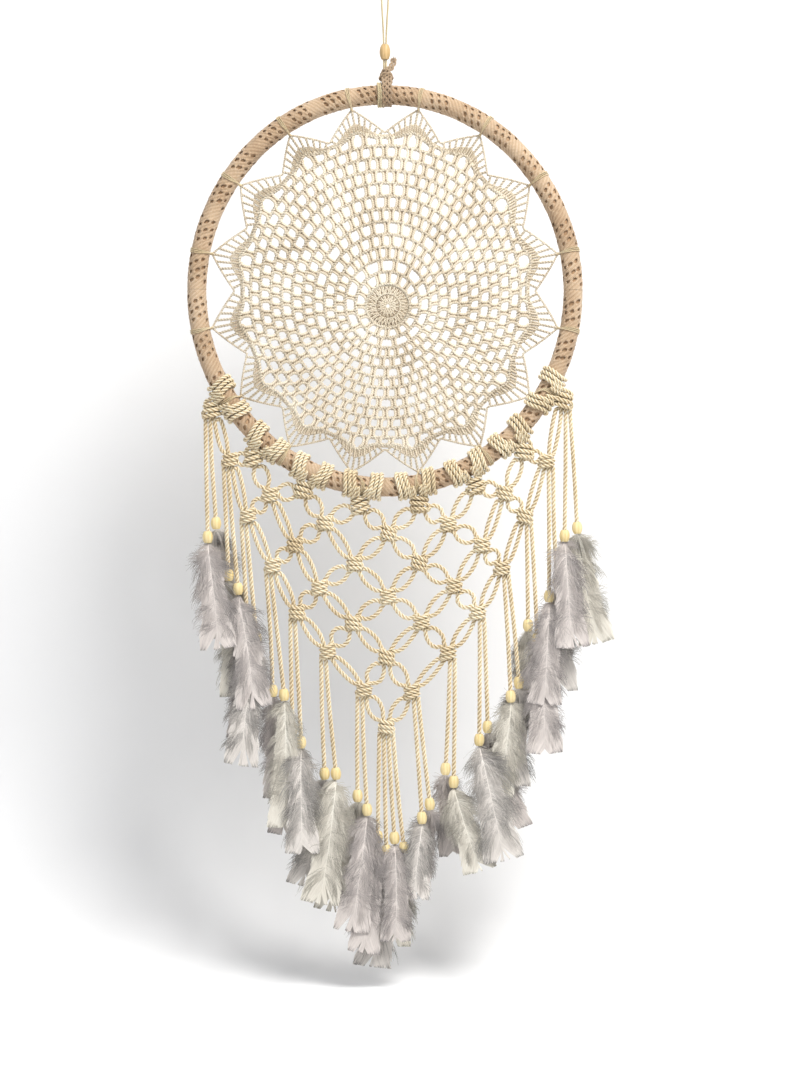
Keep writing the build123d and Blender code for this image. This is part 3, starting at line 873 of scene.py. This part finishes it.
def web_point(degrees, share):
    """A point on the straight line from the disc's edge to the mesh's edge at that angle."""
    inner = disc_point(DISC_RADIUS, degrees)
    outer = edge_point(degrees, web_edge_gap(degrees) if share > 0.97 else round_gap(degrees))
    return inner + (outer - inner) * share


def ring_line(share, spacing, wobble):
    count = 240
    points = []
    for n in range(count):
        p = web_point(360 * n / count, share)
        points.append(p + unit(p - DISC_CENTER) * wobble * math.sin(n * 0.9 + share * 40))
    return resample(np.array(points + points[:1]), spacing)


def post(pile, low, high, radius, spread, flare=1.7, steps=7):
    """One crochet stitch between two rounds: two threads side by side, pressed together halfway."""
    along = unit(high - low)
    across = np.array((along[2], 0, -along[0]))
    t = np.linspace(0, 1, steps)
    for side in (-1, 1):
        apart = spread * (0.9 + flare * (2 * t - 1) ** 4)
        center = low + (high - low) * t[:, None] + across * (side * apart)[:, None]
        center[:, 1] += 0.35 * side * np.sin(np.pi * t * 2)
        # out leans to the front: each thread's painted shade falls on its back and on the side next to the
        # other thread
        out = np.repeat((across * side)[None, :], steps, axis=0) + np.array((0, -0.8, 0))
        strand(pile, center, out, radius * (1 - 0.10 * (2 * t - 1) ** 2))


rounds = Pile()
for index, share in enumerate(CHAIN_SHARES):
    twisted(rounds, ring_line(share, 1.4, 0.12), THREAD * 1.75, 5.6, index)

posts = Pile()
shade_backing = Pile()
for index, count in enumerate(ROUND_HOLES):
    low_share, high_share = CHAIN_SHARES[index], CHAIN_SHARES[index + 1]
    step = 360 / count
    shift = 0.5 * (index % 2) * step
    width = 0.90 + 0.16 * (index / 11)
    for n in range(count):
        degrees = step * n + shift + web_chance.uniform(-0.07, 0.07) * step
        lean = web_chance.uniform(-0.06, 0.06) * step
        low, high = web_point(degrees, low_share), web_point(degrees + lean, high_share)
        post(posts, low, high, 1.74 * width, 1.5 * width)
        # dark tubes just behind both ends of each post, painted shade in the small holes there
        for end, other in ((low, high), (high, low)):
            shade_tube = end + (other - end) * np.linspace(0.12, 0.36, 4)[:, None] + np.array((0, 0.5, 0))
            shade_backing.add(*tube_mesh(shade_tube, 1.15))


# the solid disc in the middle
def disc_ring(radius, thread):
    points = [disc_point(radius, 3 * n) for n in range(121)]
    twisted(rounds, resample(np.array(points), 1.2), thread, 4.0, radius)


def disc_stitches(inner, outer, count, offset):
    """Pairs of threads side by side, their outer ends a little apart from the next pair's."""
    for n in range(count):
        degrees = 360 * (n + offset) / count + web_chance.uniform(-0.6, 0.6)
        foot = disc_point(inner, degrees, 0.2 * (-1) ** n)
        post(rounds, foot, disc_point(outer, degrees), 0.92, 0.72, 0.3)


# a thin dark plate inside the disc, between its stitches, painted shade seen through the gaps
for face in (-1, 1):
    layers = [[disc_point(radius, 7.5 * n, face * depth) for n in range(48)]
              for radius, depth in ((2.2, 0.0), (2.6, 0.45), (12.0, 0.5), (21.4, 0.45), (21.9, 0.0))]
    vertices, quads, uvs = skin(np.array(layers), np.arange(5.0), False)
    shade_backing.add(vertices, quads if face < 0 else quads[:, ::-1], uvs)
disc_ring(2.9, 0.85)
disc_stitches(3.4, 10.6, 16, 0)
disc_ring(12.6, 0.8)
disc_stitches(13.2, 20.2, 32, 0.5)
disc_ring(22.0, 0.95)
painted_shade_threads = shade_backing.make("web_painted_shade_threads", painted_shade_cotton, "hoop", "crochet_thread", ["web_doily"])

# the solid band outside the mesh, the fans at the star's tips and the outline
for n in range(BAND_THREADS):
    degrees = 360 * n / BAND_THREADS
    inner = edge_point(degrees, web_edge_gap(degrees) - 0.6)
    outer = edge_point(degrees + web_chance.uniform(-0.15, 0.15), band_gap(degrees))
    if np.linalg.norm(outer - inner) > 1.0:
        line = inner + (outer - inner) * np.linspace(0, 1, 4)[:, None]
        line[:, 1] += 0.4 * (-1) ** n
        rounds.add(*tube_mesh(line, 1.3))
band_line = [edge_point(1.5 * n, band_gap(1.5 * n)) for n in range(241)]
twisted(rounds, resample(np.array(band_line), 1.3), THREAD * 0.85, 4.6, 1.0)
outline = np.array([edge_point(0.75 * n, outline_gap(0.75 * n)) for n in range(481)])
twisted(rounds, resample(outline, 1.3), THREAD * 0.95, 4.2, 0.4)
for tip in range(STAR_TIPS):
    middle = (tip + 0.5) * TIP_STEP
    for k in range(TIP_SPOKES):
        spoke = (k - 5) / 5
        foot, head = middle + spoke * 8.6, middle + spoke * 10.3
        low, high = edge_point(foot, band_gap(foot) + 0.6), edge_point(head, outline_gap(head))
        if np.linalg.norm(high - low) > 2.2:
            twisted(posts, resample(np.array([low, high]), 1.2), THREAD * 1.15, 6.0, k)
stitches = posts.make("web_stitches", thread_cotton, "hoop", "crochet_thread", ["web_doily"])
web = rounds.make("web_rounds_and_edge", thread_cotton, "hoop", "crochet_thread", ["web_doily"])

# ---------------- lace round the hoop
LACE_STEP = 1.15
LACE_SIDES = 56
LACE_PERIOD = 38.0         # from one group of holes to the next
LACE_THICKNESS = 0.9
LACE_PARTS = 4
HOLE_ROWS = 8
HOLE_STEP = 7.2
RIM_FROM, RIM_TO = 0.62, 1.42      # in hole radii: the lace between these is drawn out to the hole's rim
CUT_OUT = 0.63
CIRCUMFERENCE = 2 * math.pi * WRAP_RADIUS
hoop_length = math.pi * (HOOP_HALF_WIDTH + HOOP_HALF_HEIGHT)
lace_steps = int(hoop_length / LACE_STEP)
lace_periods = int(round(hoop_length / LACE_PERIOD))


def lace_holes():
    """(along, around) in millimetres of each hole's middle, and its radius."""
    chance = random.Random(3)
    places = []
    for period in range(lace_periods):
        start = hoop_length * (period + 0.5) / lace_periods
        for row in range(HOLE_ROWS):
            for column in (-1.5, -0.5, 0.5, 1.5) if row % 2 else (-1, 0, 1):
                along = start + column * HOLE_STEP + (row - 3.5) * 0.9 + chance.uniform(-0.7, 0.7)
                around = CIRCUMFERENCE / HOLE_ROWS * row + column * 1.8 + chance.uniform(-0.6, 0.6)
                places.append((along, around, chance.uniform(1.55, 2.2)))
    return places


def wrapped(distance, whole):
    """The shorter way round."""
    return (distance + whole / 2) % whole - whole / 2


def lace_part(name, first, last, holes):
    """A stretch of the lace tube with its holes cut out, in two skins joined at their rims."""
    rows = last + 1 - first
    a, b = np.meshgrid(np.arange(first, last + 1) * hoop_length / lace_steps,
                       np.arange(LACE_SIDES) * CIRCUMFERENCE / LACE_SIDES, indexing="ij")
    near = np.full(a.shape, 9.0)
    moved_a, moved_b = a, b
    for hole_a, hole_b, radius in holes:
        da, db = wrapped(a - hole_a, hoop_length), wrapped(b - hole_b, CIRCUMFERENCE)
        distance = np.hypot((db * 0.85 - da * 0.53) * 0.66, (da * 0.85 + db * 0.53) * 1.3)
        near = np.minimum(near, distance / radius)
        rim = (distance > radius * RIM_FROM) & (distance < radius * RIM_TO)
        scale = radius / np.maximum(distance, 1e-6)
        moved_a = np.where(rim, a + da * (scale - 1) * 0.9, moved_a)
        moved_b = np.where(rim, b + db * (scale - 1) * 0.9, moved_b)
    stitch = np.sin(2 * np.pi * (moved_a / RIB_PITCH + RIBS_ROUND * moved_b / CIRCUMFERENCE)) * 0.16
    stitch = stitch + np.sin(2 * np.pi * (moved_a / 3.4 - 15 * moved_b / CIRCUMFERENCE)) * 0.13
    outer = WRAP_RADIUS - 0.75 + stitch + 0.45 * np.exp(-((near - 1.45) / 0.35) ** 2)
    degrees, around = 360 * moved_a / hoop_length, np.degrees(moved_b / WRAP_RADIUS)
    shells = [on_hoop(degrees, around, radius).reshape(-1, 3) for radius in (outer, outer - LACE_THICKNESS)]
    i, j = np.meshgrid(np.arange(rows - 1) * LACE_SIDES, np.arange(LACE_SIDES), indexing="ij")
    j2 = (j + 1) % LACE_SIDES
    corners = np.stack([i + j, i + j2, i + LACE_SIDES + j2, i + LACE_SIDES + j], axis=-1).reshape(-1, 4)
    top = corners[(near >= CUT_OUT).reshape(-1)[corners].all(axis=1)]
    edges = {}
    for p, q in np.concatenate([top[:, [k, (k + 1) % 4]] for k in range(4)]):
        key = (min(p, q), max(p, q))
        edges[key] = None if key in edges else (p, q)
    rims = np.array([edge for edge in edges.values() if edge is not None])
    wall = np.stack([rims[:, 1], rims[:, 0], rims[:, 0] + a.size, rims[:, 1] + a.size], axis=-1)
    uvs = np.column_stack([(moved_b / CIRCUMFERENCE).reshape(-1), moved_a.reshape(-1)])
    quads = np.vstack([top, top[:, ::-1] + a.size, wall])
    obj = new_mesh(name, np.vstack(shells), quads, np.vstack([uvs, uvs]))
    place(obj, lace_cotton, "hoop", ["hoop_wrap"])


holes = lace_holes()
for part in range(LACE_PARTS):
    first, last = part * lace_steps // LACE_PARTS, (part + 1) * lace_steps // LACE_PARTS
    lace_part(f"hoop_lace_{part + 1}", first, last, holes)

# ---------------- threads that tie the web to the hoop
def tie_angle(tip):
    nearest = min((group_angle(group) for group in range(GROUPS)), key=lambda angle: abs(angle - tip))
    return nearest if abs(nearest - tip) < HITCH_OFFSET + 2.5 else tip


ties = Pile()
around = np.arange(0, 360, 20)
inward = np.maximum(0.0, -np.cos(np.radians(around)))
radius = WRAP_RADIUS + 0.15 + (TIP_GAP - 0.2 - WRAP_RADIUS) * inward ** 6
for tip in range(STAR_TIPS):
    tip_angle = (tip + 0.5) * TIP_STEP
    middle = tie_angle(tip_angle)
    slip = (tip_angle - middle) * inward ** 3
    for turn in range(3):
        lean = (0.45 * (turn - 1) + 0.25 * np.sin(np.radians(around))) * (1 - inward)
        points = on_hoop(middle + slip + lean, around, radius)
        twisted(ties, smooth_line(points, 1.2, closed=True), 0.42, 3.5, turn)
    k = np.arange(7)
    knot = on_hoop(tip_angle + 0.35 * np.sin(2.2 * k), 180 + 26 * np.cos(2.2 * k), 10.6 + 0.5 * k)
    twisted(ties, smooth_line(knot, 0.9), 0.6, 3.0, tip)
ties.make("web_tie_threads", tie_cotton, "hoop", "crochet_thread", ["web_ties"])

# ---------------- what hangs the hoop up
TIE_ANGLE = 91.3
TIE_RADIUS = 11.9
tie = Pile()
around = np.arange(0, 360, 24)
for n in range(3):
    sway = 0.12 * np.sin(np.radians(around) * 2 + n)
    points = on_hoop(TIE_ANGLE + 0.74 * (n - 1) + sway, around, TIE_RADIUS)
    add_rope(tie, smooth_line(points, 1.0, closed=True), 1.1, 7.0, n, sides=6)
tie.make("hanger_tie_cord", loop_cotton, "hoop", "thin_cord", ["hanger_tie"])


def strip_line(points, spacing):
    """A line through control points, and a strip's directions along it: across and out of its face."""
    line = smooth_line(points, spacing)
    along = unit(np.gradient(line, axis=0))
    across = unit(np.cross(along, np.array((0.0, 1.0, 0.25))))
    return line, across, np.cross(along, across)


def flat_strip(pile, points, half_width, half_thickness):
    """A solid strip along a route of control points."""
    line, across, up = strip_line(points, 0.8)
    s = lengths_along(line)
    wide = np.interp(np.linspace(0, 1, len(line)), np.linspace(0, 1, len(half_width)), half_width)
    wide = wide * (1 + 0.05 * np.sin(s * 2.2))
    pile.add(*skin(rings_round(line, across * wide[:, None], up * half_thickness, 1.0, 16), s))


def lace_braid(pile, points, rows, spacing, thread, wave):
    """Threads side by side that sway towards each other and apart, with holes between them."""
    line, across, up = strip_line(points, 0.7)
    s = lengths_along(line)
    for row in range(rows):
        turn = 2 * np.pi * s / wave + np.pi * row
        sideways = (row - (rows - 1) / 2) * spacing + 0.30 * spacing * np.sin(turn)
        center = line + across * sideways[:, None] + up * (0.35 * np.cos(turn + row))[:, None]
        strand(pile, center, up, thread)


STRIP = [(2.2, -1.0, -119.4), (2.0, -8.6, -118.0), (2.4, -12.2, -112.0), (2.2, -12.4, -104.0),
         (2.2, -9.2, -96.5), (2.0, -4.4, -92.0), (1.6, -1.0, -88.0)]
STUB = [(1.5, 3.0, -94.0), (-3.0, 0.5, -92.4), (-3.2, -3.6, -89.6), (1.0, -5.4, -88.4),
        (5.0, -3.4, -88.6), (6.0, 1.0, -90.4), (3.0, 4.6, -91.0), (-1.6, 3.6, -88.0),
        (-2.2, -1.0, -86.0), (0.8, -3.8, -84.6), (4.2, -3.0, -83.0), (7.0, -1.2, -79.4),
        (8.6, -0.4, -75.0), (9.0, 0.0, -71.8)]
FRAYED_ENDS = 60
knot = Pile()
lace_braid(knot, STRIP, 4, 2.5, 1.36, 6.4)
lace_braid(knot, STUB, 3, 1.9, 1.15, 5.4)
chance = np.random.default_rng(12)
for k in range(FRAYED_ENDS):
    foot = np.array((8.8, -0.4, -74.0)) + chance.normal(0, 1.0, 3) * (1.1, 0.7, 1.6)
    head = foot + np.array((chance.normal(0.3, 1.0), chance.normal(0, 0.8), chance.uniform(1.2, 3.4)))
    knot.add(*tube_mesh(resample(np.array([foot, head]), 0.8), 0.14, sides=5))
knot.make("hanger_knot_strip", lace_cotton, "hoop", "lace_wrap", ["hanger_knot"])
# a dark strip just behind the braids, painted shade seen through the holes between their threads
knot_shade_backing = Pile()
flat_strip(knot_shade_backing, [(x, y + 1.0, z) for x, y, z in STRIP], (3.2, 3.9, 3.9, 3.9, 3.4, 2.6), 0.5)
flat_strip(knot_shade_backing, STUB[:-2], (1.5, 1.9, 2.0, 2.0, 1.8, 1.6), 0.7)
knot_shade_backing.make("hanger_knot_painted_shade", painted_shade_cotton, "hoop", "lace_wrap", ["hanger_knot"])

# ---------------- floor, backdrop and light
def studio_material():
    """Pale paper, seen only from the side that faces the object, so that it hides nothing from behind."""
    look = Look("backdrop_paper", 0.9)
    look.paint(look.noise(2.0, 2), [(0.0, (0.79, 0.793, 0.80)), (1.0, (0.82, 0.822, 0.828))])
    surface = look.node("MixShader", "Shader", {"Fac": look.node("NewGeometry", "Backfacing", {}),
                                                1: look.principled.outputs["BSDF"],
                                                2: look.node("BsdfTransparent", "BSDF", {})})
    look.links.new(surface, look.nodes["Material Output"].inputs["Surface"])
    return look.material


WALL_Y, FLOOR_Z, WALL_TOP, STAGE_HALF = 280.0, -1012.0, 1600.0, 3500.0
FLOOR_FRONT = -3400.0
BEND = 262.0
profile = [(FLOOR_FRONT, FLOOR_Z), (WALL_Y - BEND, FLOOR_Z)]
profile += [(WALL_Y - BEND + BEND * math.sin(a), FLOOR_Z + BEND - BEND * math.cos(a))
            for a in np.linspace(0.1, math.pi / 2, 12)]
profile.append((WALL_Y, WALL_TOP))
sweep_vertices = [(x, y, z) for x in (-STAGE_HALF, STAGE_HALF) for y, z in profile]
n = len(profile)
sweep_quads = [(k, k + n, k + n + 1, k + 1) for k in range(n - 1)]
backdrop = new_mesh("backdrop", sweep_vertices, sweep_quads)
backdrop.data.materials.append(studio_material())


def area_light(name, position, target, size, power, color):
    data = bpy.data.lights.new(name, "AREA")
    data.shape = "DISK"
    data.size = size
    data.energy = power
    data.color = color
    light = bpy.data.objects.new(name, data)
    light.location = position
    light.rotation_euler = (Vector(target) - Vector(position)).to_track_quat("-Z", "Y").to_euler()
    bpy.context.scene.collection.objects.link(light)


area_light("key", (0.9, -1.6, 1.5), (0, 0, -0.5), 1.2, 88, (1.0, 0.985, 0.96))
area_light("fill", (-1.8, -2.0, 0.3), (0, 0, -0.55), 1.8, 8, (0.95, 0.97, 1.0))
world = bpy.data.worlds.new("studio")
world.use_nodes = True
background = world.node_tree.nodes["Background"]
background.inputs["Color"].default_value = (0.95, 0.97, 1.0, 1)
background.inputs["Strength"].default_value = 0.44
bpy.context.scene.world = world
